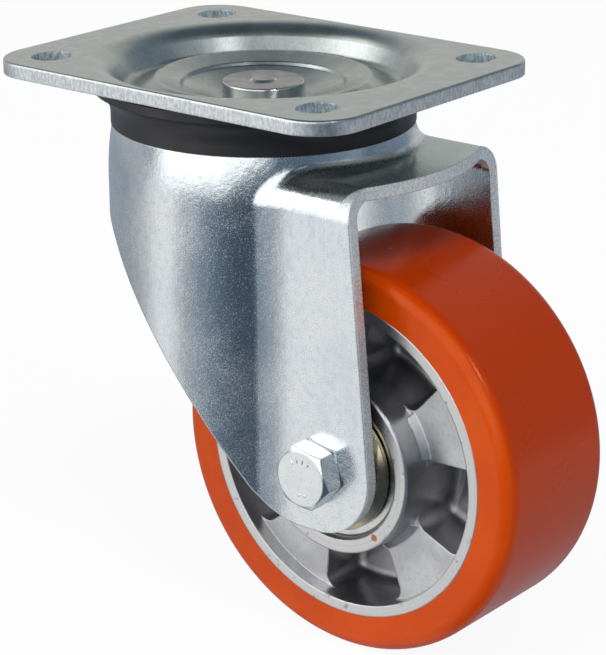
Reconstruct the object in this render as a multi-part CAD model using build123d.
from build123d import *
import math
import os

# Heavy-duty swivel castor: a pressed mounting plate, a deep-drawn fork on a double ball race,
# and a cast wheel core with a bonded tyre on two deep-groove ball bearings.
# Millimetres. Origin: centre of the plate's mounting face. +Z up, +X along the axle towards
# its nut, +Y the leading direction, so the wheel trails towards -Y.

# ---- mounting plate ----
plate_length = 135.0
plate_width = 107.5
plate_thickness = 4.5
plate_corner_radius = 15.0
plate_edge_round = 0.8
hole_spacing_length = 105.0
hole_spacing_width = 77.5
hole_width = 11.0
slot_length = 13.5
dish_lip_bend = 8.0
dish_slope_run = 6.4
trough_reach = 9.1
trough_depth = 10.3
trough_bend = 3.0
ridge_depth = 5.15
ridge_bend = 2.0
ledge_width = 7.4
ledge_depth = 7.35
ledge_step_run = 0.8
ledge_step_depth = 8.5
ledge_bend = 0.4
recess_radius = 15.0
recess_depth = 12.0
recess_bend = 3.0
least_bend = 0.5

# ---- kingpin, its race and nut ----
kingpin_head_radius = 12.9
kingpin_head_height = 5.0
kingpin_head_chamfer = 0.4
kingpin_nub_radius = 4.2
kingpin_nub_height = 0.5
kingpin_shoulder_radius = 11.0
kingpin_thread_radius = 8.0
kingpin_nut_across_flats = 24.0
kingpin_nut_height = 13.0
kingpin_end_reach = 2.5
lower_race_radius = 23.5
lower_race_thickness = 4.5
lower_race_chamfer = 1.0

# ---- swivel balls ----
upper_ball_diameter = 9.525
crown_edge_width = 11.9
upper_ball_count = 20
upper_race_depth = 1.0
lower_ball_diameter = 6.35
lower_ball_pitch_radius = 18.5
lower_ball_count = 16
lower_race_depth = 0.5
race_clearance = 0.03

# ---- fork ----
fork_thickness = 4.0
crown_gap = 1.0
head_radius = 48.5
head_taper = 1.6
head_round_height = 17.4
seal_step_drop = 1.4
seal_step_width = 1.9
roof_drop = 5.4
fork_inner_width = 66.0
leg_bend = 9.0
leg_neck_radius = 40.0
leg_root_inset = 1.0
neck_blend = 5.0
roof_lip_radius = 68.0
king_hole_clearance = 1.0
leg_end_radius = 19.5
leg_front_reach = 11.5
heel_depth = 45.5
heel_blend = 30.0
heel_edge_y = 32.8
toe_edge_y = -32.2
toe_blend = 20.0
edge_sag = 3.5

# ---- dust seal ----
seal_overhang = 0.4
seal_fit = 0.05
seal_skirt_height = 3.4
seal_flare_radius = 8.0
seal_flare_height = 7.5
seal_lip_thickness = 0.9
seal_gap = 0.8

# ---- wheel ----
wheel_diameter = 125.0
tread_width = 50.0
tyre_edge_round = 4.5
tyre_thickness = 11.9
trail = 50.0
axle_drop = 112.5
rim_thickness = 3.45
hub_length = 60.0
hub_radius = 28.5
hub_edge_round = 0.8
hub_root_width = 2.5
web_thickness = 10.0
spoke_count = 5
spoke_first_angle = 11.0
spoke_depth = 4.7
spoke_hub_angle = 26.0
spoke_rim_angle = 34.0
cast_draft = 3.0
pocket_corner = 4.0
pocket_floor_round = 3.0

# ---- wheel bearings, 20 x 47 x 14 ----
bearing_bore = 20.0
bearing_outside = 47.0
bearing_width = 14.0
bearing_recess = 2.0
bearing_mouth = 0.6
bearing_shoulder = 3.0
bearing_pitch_radius = 16.75
bearing_ball_diameter = 7.938
bearing_ball_count = 8
inner_ring_radius = 13.9
outer_ring_bore = 39.2
ring_chamfer = 0.6
shield_thickness = 0.6
shield_inset = 0.5
shield_gap = 0.4
cage_inner_radius = 15.2
cage_outer_radius = 18.4
cage_back = 5.6
cage_front = 2.2
cage_clearance = 0.1
fit_clearance = 0.02

# ---- axle ----
bolt_diameter = 12.0
bolt_across_flats = 18.0
bolt_head_height = 7.5
bolt_nut_height = 12.0
bolt_end_reach = 3.0
bolt_end_chamfer = 1.0
hex_face_share = 0.95
hex_chamfer_angle = 30.0
bolt_hole_clearance = 0.3
bolt_turn = -19.0
tube_wall = 3.7
spacer_nose_radius = 13.5
spacer_skirt_radius = 20.9
spacer_skirt_gap = 0.6
spacer_skirt_thickness = 1.2
spacer_back_radius = 15.0
centre_spacer_wall = 2.8

# ---- places worked out from the sizes ----
floor_underside = -(recess_depth + plate_thickness)
crown_top = floor_underside - crown_gap
neck_radius = head_radius - head_taper
crown_radius = neck_radius - seal_step_width
upper_ball_pitch_radius = crown_radius - crown_edge_width
trough_radius = upper_ball_pitch_radius + trough_reach
seal_seat = crown_top - seal_step_drop
roof_top = seal_seat - roof_drop
head_round_end = seal_seat - head_round_height
crown_underside = crown_top - fork_thickness
upper_ball_z = crown_top - upper_race_depth + upper_ball_diameter / 2
lower_ball_z = crown_underside + lower_race_depth - lower_ball_diameter / 2
lower_race_top = lower_ball_z - lower_ball_diameter / 2 + lower_race_depth
lower_race_bottom = lower_race_top - lower_race_thickness
kingpin_nut_bottom = lower_race_bottom - kingpin_nut_height

axle_y = -trail
axle_z = -axle_drop
leg_inside = fork_inner_width / 2
leg_outside = leg_inside + fork_thickness
leg_bottom = axle_z - leg_end_radius
wheel_radius = wheel_diameter / 2
rim_radius = wheel_radius - tyre_thickness
rim_inside = rim_radius - rim_thickness
rim_face = tread_width / 2
hub_face = hub_length / 2
bearing_face = hub_face - bearing_recess
bearing_seat = bearing_outside / 2
bolt_end = leg_outside + bolt_nut_height + bolt_end_reach

at_axle = Pos(0, axle_y, axle_z)


def offset_path(points, distance):
    """Corners of the path that runs distance to the left of the path through points."""
    sides = []
    for (x0, y0), (x1, y1) in zip(points, points[1:]):
        length = math.hypot(x1 - x0, y1 - y0)
        along = ((x1 - x0) / length, (y1 - y0) / length)
        start = (x0 - along[1] * distance, y0 + along[0] * distance)
        sides.append((start, along))
    corners = [sides[0][0]]
    for ((x0, y0), a), ((x1, y1), b) in zip(sides, sides[1:]):
        cross = a[0] * b[1] - a[1] * b[0]
        step = ((x1 - x0) * b[1] - (y1 - y0) * b[0]) / cross
        corners.append((x0 + a[0] * step, y0 + a[1] * step))
    (x0, y0), a = sides[-1]
    (x1, y1), (x2, y2) = points[-2], points[-1]
    length = math.hypot(x2 - x1, y2 - y1)
    corners.append((x0 + a[0] * length, y0 + a[1] * length))
    return corners


def spots_along(edge):
    """Three points along an edge."""
    return [edge @ part for part in (0.1, 0.5, 0.9)]


def turned_upright(outline):
    """Solid of revolution about Z, from a closed outline of (radius, height)."""
    return revolve(Plane.XZ * make_face(outline), Axis.Z)


def hexagon(across_flats, height):
    """Hexagonal head or nut along +Z, its corners chamfered at both ends by a 30 degree cone."""
    corner_radius = across_flats / math.sqrt(3)
    face_radius = across_flats / 2 * hex_face_share
    drop = (corner_radius - face_radius) * math.tan(math.radians(hex_chamfer_angle))
    prism = extrude(RegularPolygon(corner_radius, 6), height)
    corners = [(0, 0), (face_radius, 0), (corner_radius, drop)]
    corners += [(corner_radius, height - drop), (face_radius, height), (0, height)]
    return prism & revolve(Plane.XZ * make_face(Polyline(*corners, close=True)), Axis.Z)


def ball_ring(count, pitch_radius, diameter):
    """Balls spaced round Z."""
    return [place * Sphere(diameter / 2) for place in PolarLocations(pitch_radius, count)]


def make_top_plate():
    """Plate with slotted holes and a pressed dish: a trough round the ridge over the upper balls,
    then a stepped ledge down to the kingpin's recess."""
    flat = (plate_length, 0)
    lip = (trough_radius + dish_slope_run, 0)
    trough = (trough_radius, -trough_depth)
    ridge = (upper_ball_pitch_radius, -ridge_depth)
    ledge = (upper_ball_pitch_radius - ledge_width, -ledge_depth)
    step = (ledge[0] - ledge_step_run, -ledge_step_depth)
    recess = (recess_radius, -recess_depth)
    middle = (0, -recess_depth)
    below = offset_path([flat, lip, trough, ridge, recess, middle], plate_thickness)
    bends = [dish_lip_bend, trough_bend, ridge_bend, ledge_bend, ledge_bend, recess_bend]
    bends_below = [
        max(dish_lip_bend - plate_thickness, least_bend),
        trough_bend + plate_thickness,
        least_bend,
        recess_bend + plate_thickness,
    ]
    upper = FilletPolyline(flat, lip, trough, ridge, ledge, step, recess, middle, radius=bends)
    lower = FilletPolyline(*below, radius=bends_below)
    ends = Line(flat, below[0]) + Line(middle, below[-1])
    sheet = turned_upright(upper + lower + ends)
    outline = RectangleRounded(plate_width, plate_length, plate_corner_radius)
    blank = extrude(outline, -2 * abs(floor_underside))
    blank = fillet(blank.edges().group_by(Axis.Z)[-1], plate_edge_round)
    plate = sheet & blank
    hole = extrude(SlotOverall(slot_length, hole_width), plate_thickness, both=True)
    plate -= [place * hole for place in GridLocations(hole_spacing_width, hole_spacing_length, 2, 2)]
    plate -= Pos(0, 0, upper_ball_z) * Torus(
        upper_ball_pitch_radius, upper_ball_diameter / 2 + race_clearance
    )
    plate -= Pos(0, 0, floor_underside) * Cylinder(
        kingpin_shoulder_radius + fit_clearance, 4 * plate_thickness
    )
    return plate


def make_kingpin():
    """Headed pin with a centre nub; its shoulder passes the plate and stops on the lower race."""
    head_top = kingpin_head_height - recess_depth
    end = kingpin_nut_bottom - kingpin_end_reach
    corners = [
        (0, head_top + kingpin_nub_height),
        (kingpin_nub_radius - kingpin_nub_height, head_top + kingpin_nub_height),
        (kingpin_nub_radius, head_top),
        (kingpin_head_radius - kingpin_head_chamfer, head_top),
        (kingpin_head_radius, head_top - kingpin_head_chamfer),
        (kingpin_head_radius, -recess_depth),
        (kingpin_shoulder_radius, -recess_depth),
        (kingpin_shoulder_radius, lower_race_top),
        (kingpin_thread_radius, lower_race_top),
        (kingpin_thread_radius, end + bolt_end_chamfer),
        (kingpin_thread_radius - bolt_end_chamfer, end),
        (0, end),
    ]
    return turned_upright(Polyline(*corners, close=True))


def make_lower_race():
    """Turned race under the fork's crown, with its ball groove."""
    bore = kingpin_thread_radius + fit_clearance
    corners = [
        (bore, lower_race_top),
        (lower_race_radius, lower_race_top),
        (lower_race_radius, lower_race_bottom + lower_race_chamfer),
        (lower_race_radius - lower_race_chamfer, lower_race_bottom),
        (bore, lower_race_bottom),
    ]
    race = turned_upright(Polyline(*corners, close=True))
    groove = Torus(lower_ball_pitch_radius, lower_ball_diameter / 2 + race_clearance)
    return race - Pos(0, 0, lower_ball_z) * groove


def make_kingpin_nut():
    """Lock nut under the lower race."""
    nut = hexagon(kingpin_nut_across_flats, kingpin_nut_height)
    nut -= Cylinder(kingpin_thread_radius + fit_clearance, 3 * kingpin_nut_height)
    return Pos(0, 0, kingpin_nut_bottom) * nut


def fork_form(inset):
    """Solid filled form of the fork: inset 0 is its outside, inset of the sheet its inside."""
    bottom = leg_bottom - fork_thickness
    seat = seal_seat - inset
    wall = head_radius - inset
    neck = neck_radius - inset
    round_height = seat - head_round_end
    round_radius = (round_height**2 + (wall - neck) ** 2) / (2 * (wall - neck))
    if inset:
        crown = [(neck, seat), (neck, crown_top - inset), (0, crown_top - inset)]
    else:
        crown = [(neck, seat), (crown_radius, seat), (crown_radius, crown_top), (0, crown_top)]
    side = RadiusArc((neck, seat), (wall, head_round_end), round_radius)
    rest = Polyline((wall, head_round_end), (wall, bottom), (0, bottom), (0, crown_top - inset))
    head = turned_upright(side + rest + Polyline(*crown))
    root = head_radius - leg_root_inset - inset
    half = leg_outside - inset
    plan = Circle(root) + Pos(0, -roof_lip_radius) * Rectangle(2 * half, 2 * roof_lip_radius)
    junctions = plan.vertices().filter_by(lambda v: -root < v.Y < -1 and abs(v.X) > half - 1)
    plan = fillet(junctions, leg_neck_radius + inset)
    roof = roof_top - inset
    legs = Pos(0, 0, roof) * extrude(plan, bottom - roof)
    legs = fillet(legs.edges().group_by(Axis.Z)[-1], leg_bend - inset)
    form = head + legs

    def in_the_neck(edge):
        spots = spots_along(edge)
        reaches = [math.hypot(spot.X, spot.Y) for spot in spots]
        low = all(spot.Z < roof + plate_edge_round for spot in spots)
        near = all(neck < reach < wall + least_bend for reach in reaches)
        upright = edge.geom_type == GeomType.LINE and edge.length > leg_end_radius
        return low and near and (edge.geom_type == GeomType.BSPLINE or upright)

    return fillet(form.edges().filter_by(in_the_neck), neck_blend)


def leg_outline():
    """Side view of the legs, as a face of (y, z): a rounded end about the axle, a hollow back edge."""
    reach_y = axle_y - leg_front_reach
    away_y, away_z = reach_y - axle_y, roof_top - axle_z
    distance = math.hypot(away_y, away_z)
    turn = math.atan2(away_z, away_y) + math.acos(leg_end_radius / distance)
    halfway = (turn + math.radians(270)) / 2
    end_arc = [
        (axle_y + leg_end_radius * math.cos(angle), axle_z + leg_end_radius * math.sin(angle))
        for angle in (math.radians(270), halfway, turn)
    ]
    heel = (heel_edge_y, -heel_depth)
    toe = (toe_edge_y, leg_bottom)
    front = (reach_y, roof_top)
    back = head_radius + fork_thickness
    outline = SagittaArc(heel, toe, -edge_sag) + Line(toe, end_arc[0]) + ThreePointArc(*end_arc)
    outline += Polyline(end_arc[-1], front, (back, roof_top), (back, -heel_depth), heel)
    face = make_face(outline)
    for place, size in ((heel, heel_blend), (toe, toe_blend)):
        face = fillet(face.vertices().sort_by_distance((*place, 0))[0], size)
    return face


def make_fork():
    """Deep-drawn fork: a drawn head and crown with two legs, cut to its side view and roof lip."""
    sheet = fork_form(0) - fork_form(fork_thickness)
    legs = extrude(Plane.YZ * leg_outline(), wheel_radius, both=True)
    lip_bottom = roof_top - leg_bend
    lip = Pos(0, 0, lip_bottom) * Cylinder(
        roof_lip_radius, -lip_bottom, align=(Align.CENTER, Align.CENTER, Align.MIN)
    )
    fork = sheet & (legs + lip)
    bore = Rot(0, 90, 0) * Cylinder(bolt_diameter / 2 + bolt_hole_clearance, 4 * leg_outside)
    fork -= at_axle * bore
    fork -= Pos(0, 0, crown_top) * Cylinder(
        kingpin_shoulder_radius + king_hole_clearance, 4 * fork_thickness
    )
    fork -= Pos(0, 0, upper_ball_z) * Torus(
        upper_ball_pitch_radius, upper_ball_diameter / 2 + race_clearance
    )
    fork -= Pos(0, 0, lower_ball_z) * Torus(
        lower_ball_pitch_radius, lower_ball_diameter / 2 + race_clearance
    )
    return fork


def make_dust_seal():
    """Skirt seated on the crown's step, its thin lip flared up round the plate's dish."""
    top = -plate_thickness - seal_gap
    flare_start = seal_seat + seal_skirt_height
    flare_end = flare_start + seal_flare_height
    inside = crown_radius + seal_fit
    outside = neck_radius + seal_overhang
    centre = outside + seal_flare_radius
    lip_outside = centre - math.sqrt(seal_flare_radius**2 - seal_flare_height**2)
    lip_inside = lip_outside - seal_lip_thickness
    inner_bend = seal_flare_radius + seal_lip_thickness
    inner_end = flare_start + math.sqrt(inner_bend**2 - (centre - lip_inside) ** 2)
    outer = RadiusArc((outside, flare_start), (lip_outside, flare_end), seal_flare_radius)
    inner = RadiusArc((lip_inside, inner_end), (centre - inner_bend, flare_start), -inner_bend)
    upper = Polyline(outer @ 1, (lip_outside, top), (lip_inside, top), inner @ 0)
    skirt = [(inside, flare_start), (inside, seal_seat), (outside, seal_seat)]
    lower = Polyline(inner @ 1, *skirt, outer @ 0)
    return turned_upright(outer + upper + inner + lower)


def turned_section(*corners):
    """Solid of revolution about X from the corners (along X, radius) of a closed section."""
    return revolve(make_face(Polyline(*corners, close=True)), Axis.X)


def make_wheel_core():
    """Cast core: hub, rim and web, with five drafted spokes on each face and pockets between."""
    slope = math.tan(math.radians(cast_draft))
    shoulder = bearing_face - bearing_width
    seat = bearing_seat + fit_clearance
    web_face = web_thickness / 2
    spoke_face = rim_face - spoke_depth
    half = [
        (shoulder, bearing_seat - bearing_shoulder),
        (shoulder, seat),
        (bearing_face, seat),
        (hub_face, seat + bearing_mouth),
        (hub_face, hub_radius),
        (web_face, hub_radius + (hub_face - web_face) * slope),
        (web_face, rim_inside - (rim_face - web_face) * slope),
        (rim_face, rim_inside),
        (rim_face, rim_radius),
    ]
    section = make_face(Polyline(*half, *[(-x, r) for x, r in reversed(half)], close=True))
    hub_corners = [v for v in section.vertices() if math.isclose(v.Y, hub_radius)]
    core = revolve(fillet(hub_corners, hub_edge_round), Axis.X)

    half_angles = [math.radians(angle) / 2 for angle in (spoke_hub_angle, spoke_rim_angle)]
    near = (hub_radius * math.cos(half_angles[0]), hub_radius * math.sin(half_angles[0]))
    far = (rim_inside * math.cos(half_angles[1]), rim_inside * math.sin(half_angles[1]))
    flare = (far[1] - near[1]) / (far[0] - near[0])
    start = bearing_seat + bearing_mouth
    end = rim_inside + rim_thickness / 2
    widths = [near[1] + flare * (reach - near[0]) for reach in (start, end)]
    outline = Polyline(
        (start, widths[0]), (end, widths[1]), (end, -widths[1]), (start, -widths[0]), close=True
    )
    wedge = extrude(Plane.YZ.offset(rim_face) * make_face(outline), -rim_face, taper=-cast_draft)
    spoke = wedge & turned_section((0, 0), (spoke_face, 0), (spoke_face, rim_radius), (0, rim_radius))
    crest = hub_radius + hub_root_width
    root = wedge & turned_section(
        (spoke_face - hub_root_width, start),
        (spoke_face + crest - start, start),
        (spoke_face, crest),
        (spoke_face - hub_root_width, crest),
    )
    places = [Rot(spoke_first_angle + 360 / spoke_count * turn, 0, 0) for turn in range(spoke_count)]
    core += [place * half for place in places for half in (spoke, mirror(spoke, Plane.YZ))]

    def in_pocket_corner(edge):
        between_faces = all(web_face < abs(spot.X) < spoke_face for spot in spots_along(edge))
        return between_faces and edge.geom_type == GeomType.BSPLINE

    def on_pocket_floor(edge):
        return all(math.isclose(abs(spot.X), web_face) for spot in spots_along(edge))

    core = fillet(core.edges().filter_by(in_pocket_corner), pocket_corner)
    core = fillet(core.edges().filter_by(on_pocket_floor), pocket_floor_round)
    core += [place * half for place in places for half in (root, mirror(root, Plane.YZ))]
    return at_axle * core


def make_tyre():
    """Tyre cast on the rim, its tread edges rounded."""
    corners = [
        (-rim_face, rim_radius + fit_clearance),
        (rim_face, rim_radius + fit_clearance),
        (rim_face, wheel_radius),
        (-rim_face, wheel_radius),
    ]
    section = make_face(Polyline(*corners, close=True))
    tread_corners = [v for v in section.vertices() if math.isclose(v.Y, wheel_radius)]
    return at_axle * revolve(fillet(tread_corners, tyre_edge_round), Axis.X)


def bearing_parts():
    """One deep-groove bearing about X, centred on the origin, its outer face towards +X."""
    half = bearing_width / 2
    groove = Rot(0, 90, 0) * Torus(bearing_pitch_radius, bearing_ball_diameter / 2 + race_clearance)
    outer = turned_section(
        (-half, outer_ring_bore / 2),
        (half, outer_ring_bore / 2),
        (half, bearing_seat - ring_chamfer),
        (half - ring_chamfer, bearing_seat),
        (ring_chamfer - half, bearing_seat),
        (-half, bearing_seat - ring_chamfer),
    )
    inner_bore = bearing_bore / 2 + fit_clearance
    inner = turned_section(
        (-half, inner_bore + ring_chamfer),
        (ring_chamfer - half, inner_bore),
        (half - ring_chamfer, inner_bore),
        (half, inner_bore + ring_chamfer),
        (half, inner_ring_radius),
        (-half, inner_ring_radius),
    )
    shield_out = half - shield_inset
    shield_in = shield_out - shield_thickness
    shield = turned_section(
        (shield_in, inner_ring_radius + shield_gap),
        (shield_out, inner_ring_radius + shield_gap),
        (shield_out, outer_ring_bore / 2 - fit_clearance),
        (shield_in, outer_ring_bore / 2 - fit_clearance),
    )
    cage = turned_section(
        (-cage_front, cage_inner_radius),
        (cage_back, cage_inner_radius),
        (cage_back, cage_outer_radius),
        (-cage_front, cage_outer_radius),
    )
    places = [
        Rot(360 / bearing_ball_count * turn, 0, 0) * Pos(0, bearing_pitch_radius, 0)
        for turn in range(bearing_ball_count)
    ]
    cage -= [place * Sphere(bearing_ball_diameter / 2 + cage_clearance) for place in places]
    return {
        "outer_ring": outer - groove,
        "inner_ring": inner - groove,
        "outer_shield": shield,
        "inner_shield": mirror(shield, Plane.YZ),
        "bearing_cage": cage,
        "bearing_balls": [place * Sphere(bearing_ball_diameter / 2) for place in places],
    }


def make_side_spacer():
    """Turned spacer between a bearing's inner ring and a leg, its skirt covering the shield."""
    bore = bearing_bore / 2 + fit_clearance
    skirt_start = bearing_face + spacer_skirt_gap
    return turned_section(
        (bearing_face, bore),
        (bearing_face, spacer_nose_radius),
        (skirt_start, spacer_nose_radius),
        (skirt_start, spacer_skirt_radius),
        (skirt_start + spacer_skirt_thickness, spacer_skirt_radius),
        (leg_inside, spacer_back_radius),
        (leg_inside, bore),
    )


def tube_about_axle(inner, outer, start, end):
    """Plain tube about the axle."""
    return at_axle * turned_section((start, inner), (end, inner), (end, outer), (start, outer))


def make_axle_bolt():
    """Hexagon bolt through both legs, its head outside the leg at -X."""
    head = Rot(0, -90, 0) * hexagon(bolt_across_flats, bolt_head_height)
    shank = turned_section(
        (-leg_outside, 0),
        (bolt_end, 0),
        (bolt_end, bolt_diameter / 2 - bolt_end_chamfer),
        (bolt_end - bolt_end_chamfer, bolt_diameter / 2),
        (-leg_outside, bolt_diameter / 2),
    )
    return at_axle * (Pos(-leg_outside, 0, 0) * Rot(bolt_turn, 0, 0) * head + shank)


def make_axle_nut():
    """Hexagon nut outside the leg at +X."""
    nut = hexagon(bolt_across_flats, bolt_nut_height)
    nut -= Cylinder(bolt_diameter / 2 + fit_clearance, 3 * bolt_nut_height)
    return at_axle * Pos(leg_outside, 0, 0) * Rot(0, 90, 0) * nut


def save(name, shape):
    """Write one node as a STEP file."""
    solids = shape if isinstance(shape, list) else shape.solids()
    export_step(Compound(children=list(solids)), f"parts/{name}.step")


parts = {
    "top_plate": make_top_plate(),
    "kingpin": make_kingpin(),
    "lower_race": make_lower_race(),
    "kingpin_nut": make_kingpin_nut(),
    "upper_swivel_balls": [
        Pos(0, 0, upper_ball_z) * ball
        for ball in ball_ring(upper_ball_count, upper_ball_pitch_radius, upper_ball_diameter)
    ],
    "lower_swivel_balls": [
        Pos(0, 0, lower_ball_z) * ball
        for ball in ball_ring(lower_ball_count, lower_ball_pitch_radius, lower_ball_diameter)
    ],
    "fork": make_fork(),
    "dust_seal": make_dust_seal(),
    "wheel_core": make_wheel_core(),
    "tyre": make_tyre(),
    "axle_bolt": make_axle_bolt(),
    "axle_nut": make_axle_nut(),
    "axle_tube": tube_about_axle(bearing_bore / 2 - tube_wall, bearing_bore / 2, -leg_inside, leg_inside),
    "centre_spacer": tube_about_axle(
        bearing_bore / 2 + fit_clearance,
        bearing_bore / 2 + centre_spacer_wall,
        bearing_width - bearing_face,
        bearing_face - bearing_width,
    ),
}
bearing_centre = bearing_face - bearing_width / 2
side_spacer = make_side_spacer()
for name, shape in bearing_parts().items():
    solids = shape if isinstance(shape, list) else [shape]
    moved = [Pos(bearing_centre, 0, 0) * solid for solid in solids]
    parts[f"nut_side_{name}"] = [at_axle * solid for solid in moved]
    parts[f"bolt_side_{name}"] = [at_axle * mirror(solid, Plane.YZ) for solid in moved]
parts["nut_side_spacer"] = at_axle * side_spacer
parts["bolt_side_spacer"] = at_axle * mirror(side_spacer, Plane.YZ)

os.makedirs("parts", exist_ok=True)
for name, shape in parts.items():
    save(name, shape)
